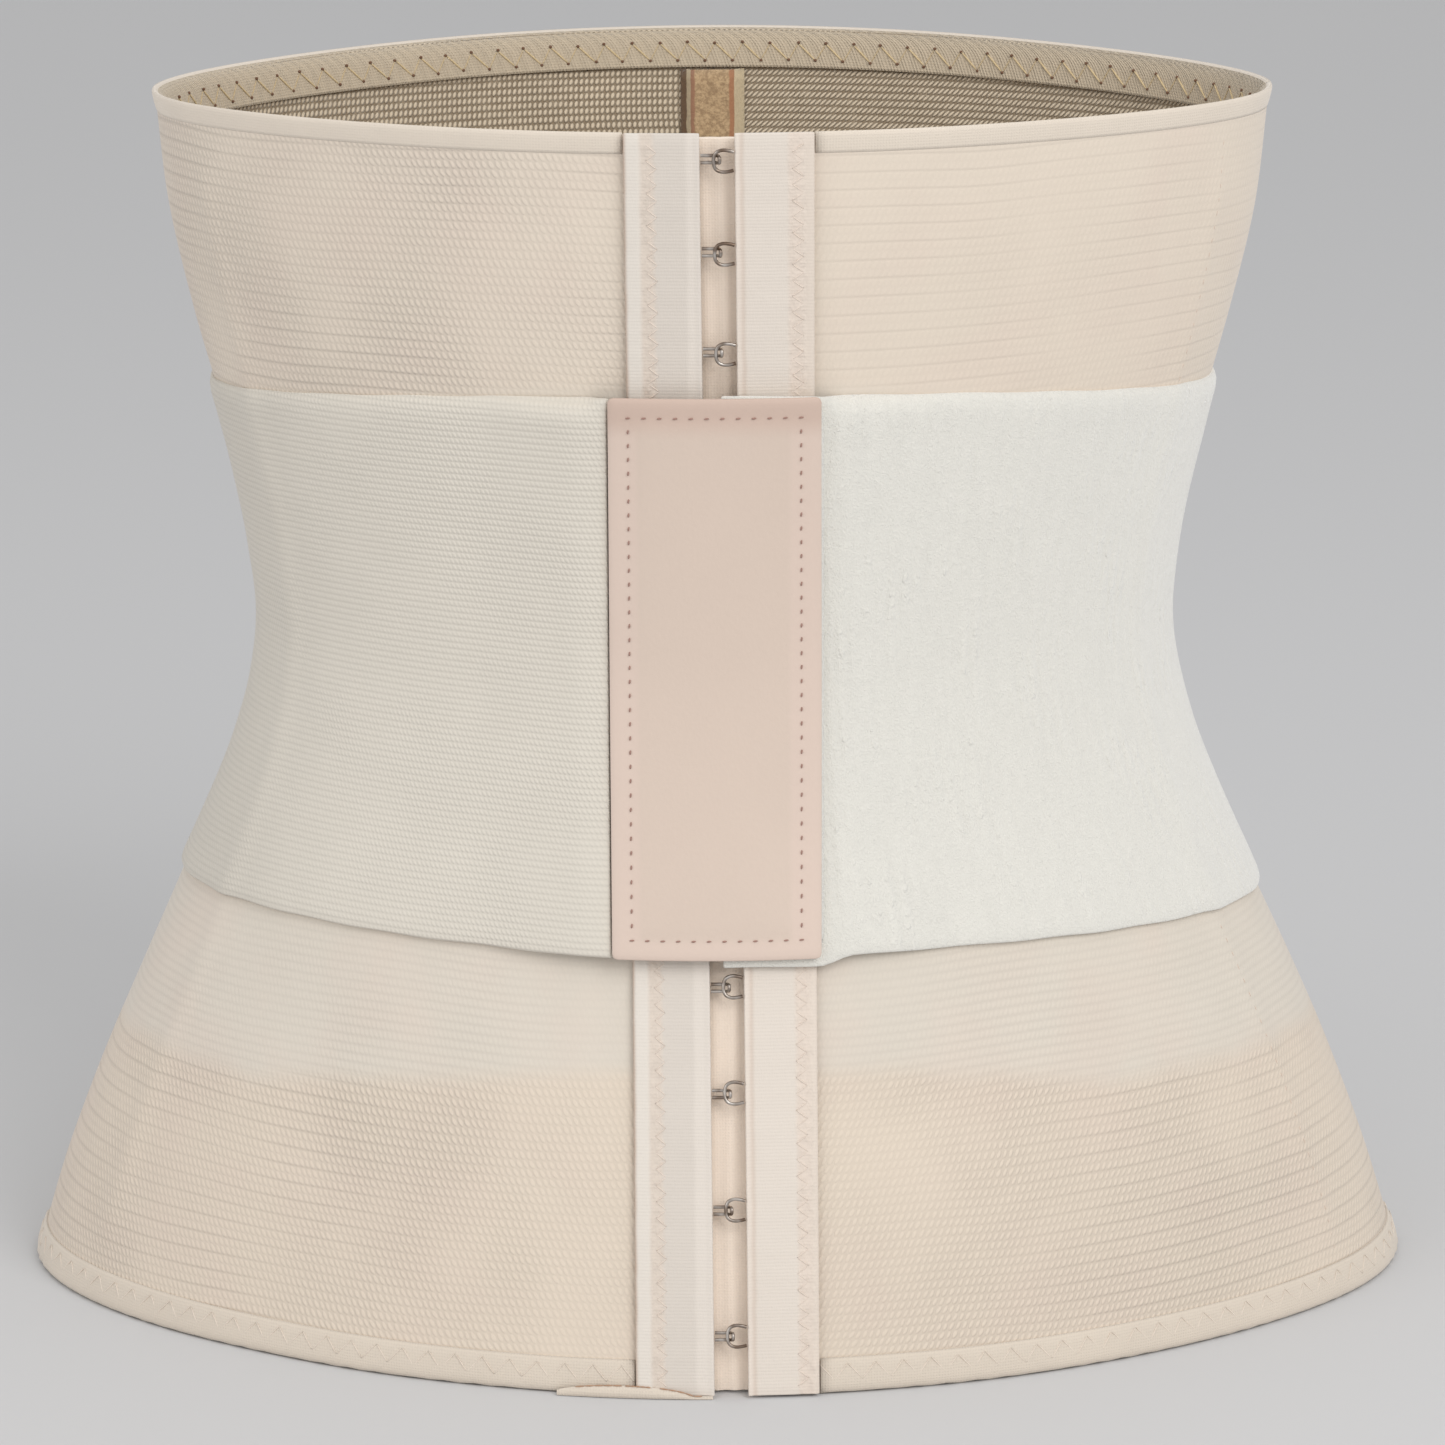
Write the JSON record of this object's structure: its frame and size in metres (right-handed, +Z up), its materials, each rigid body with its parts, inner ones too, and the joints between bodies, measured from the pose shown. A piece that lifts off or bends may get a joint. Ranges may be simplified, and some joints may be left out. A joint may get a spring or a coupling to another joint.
{
  "type": "back brace",
  "caption": "Hourglass stretch-knit waist and back brace with boned panels, a front hook-and-eye closure and straps joined by a hook-and-loop patch.",
  "frame": {"origin": "middle of the hem ring, on the plane that the brace stands on", "axes": "+Z up along the wearer's spine, -Y towards the wearer's front and the hook-and-eye closure, +X to the wearer's left"},
  "size_m": [0.3534, 0.2302, 0.304],
  "materials": {
    "body_knit": "matte stretch knit with raised dots",
    "binding": "matte folded elastic binding with zigzag stitching",
    "channel_velvet": "brushed velvet tape",
    "bone_steel": "satin",
    "hook_steel": "polished wire",
    "closure_tape": "satin woven tape",
    "underlay": "matte woven",
    "strap_knit": "matte ribbed knit",
    "strap_plush": "brushed loop plush",
    "patch_cover": "soft brushed cloth with a stitched border",
    "patch_hooks": "rough hook tape"
  },
  "bodies": {
    "root": {"left_front_panel": "body_knit", "left_back_panel": "body_knit", "right_back_panel": "body_knit", "hem_binding": "binding", "top_binding": "binding", "hook_tape": "closure_tape", "closure_underlay": "underlay", "bone_channel_centre_back": "channel_velvet", "bone_channel_side_left": "channel_velvet", "bone_channel_front_left": "channel_velvet", "steel_bone_centre_back": "bone_steel", "steel_bone_side_left": "bone_steel", "steel_bone_front_left": "bone_steel", "hook_01": "hook_steel", "hook_02": "hook_steel", "hook_03": "hook_steel", "hook_04": "hook_steel", "hook_05": "hook_steel", "hook_06": "hook_steel", "hook_07": "hook_steel", "hook_08": "hook_steel", "hook_09": "hook_steel", "hook_10": "hook_steel", "hook_11": "hook_steel", "hook_12": "hook_steel", "left_strap_back": "strap_knit", "right_strap_back": "strap_plush"},
    "right_front": {"right_front_panel": "body_knit", "hem_binding_right_front": "binding", "top_binding_right_front": "binding", "eye_tape": "closure_tape", "bone_channel_side_right": "channel_velvet", "bone_channel_front_right": "channel_velvet", "steel_bone_side_right": "bone_steel", "steel_bone_front_right": "bone_steel", "eye_01": "hook_steel", "eye_02": "hook_steel", "eye_03": "hook_steel", "eye_04": "hook_steel", "eye_05": "hook_steel", "eye_06": "hook_steel", "eye_07": "hook_steel", "eye_08": "hook_steel", "eye_09": "hook_steel", "eye_10": "hook_steel", "eye_11": "hook_steel", "eye_12": "hook_steel", "right_strap_front": "strap_plush"},
    "left_strap": {"left_strap_front": "strap_knit"},
    "patch": {"patch_cover": "patch_cover", "patch_hook_pad": "patch_hooks"}
  },
  "joints": [
    {"name": "left_strap_swing", "type": "hinge", "parent": "root", "child": "left_strap", "pos_m": [-0.143, 0, 0.168], "axis": [0, 0, -1], "range_deg": [0, 100]},
    {"name": "patch_peel", "type": "hinge", "parent": "left_strap", "child": "patch", "pos_m": [-0.0227, -0.0935, 0.1705], "axis": [0, -0.0455, -0.999], "range_deg": [0, 150]},
    {"name": "right_front_swing", "type": "hinge", "parent": "root", "child": "right_front", "pos_m": [0.179, 0, 0.15], "axis": [0, 0, 1], "range_deg": [0, 70]}
  ],
  "couplings": [
    {"joint": "right_front_swing", "follows": "left_strap_swing", "ratio": 0.7}
  ]
}
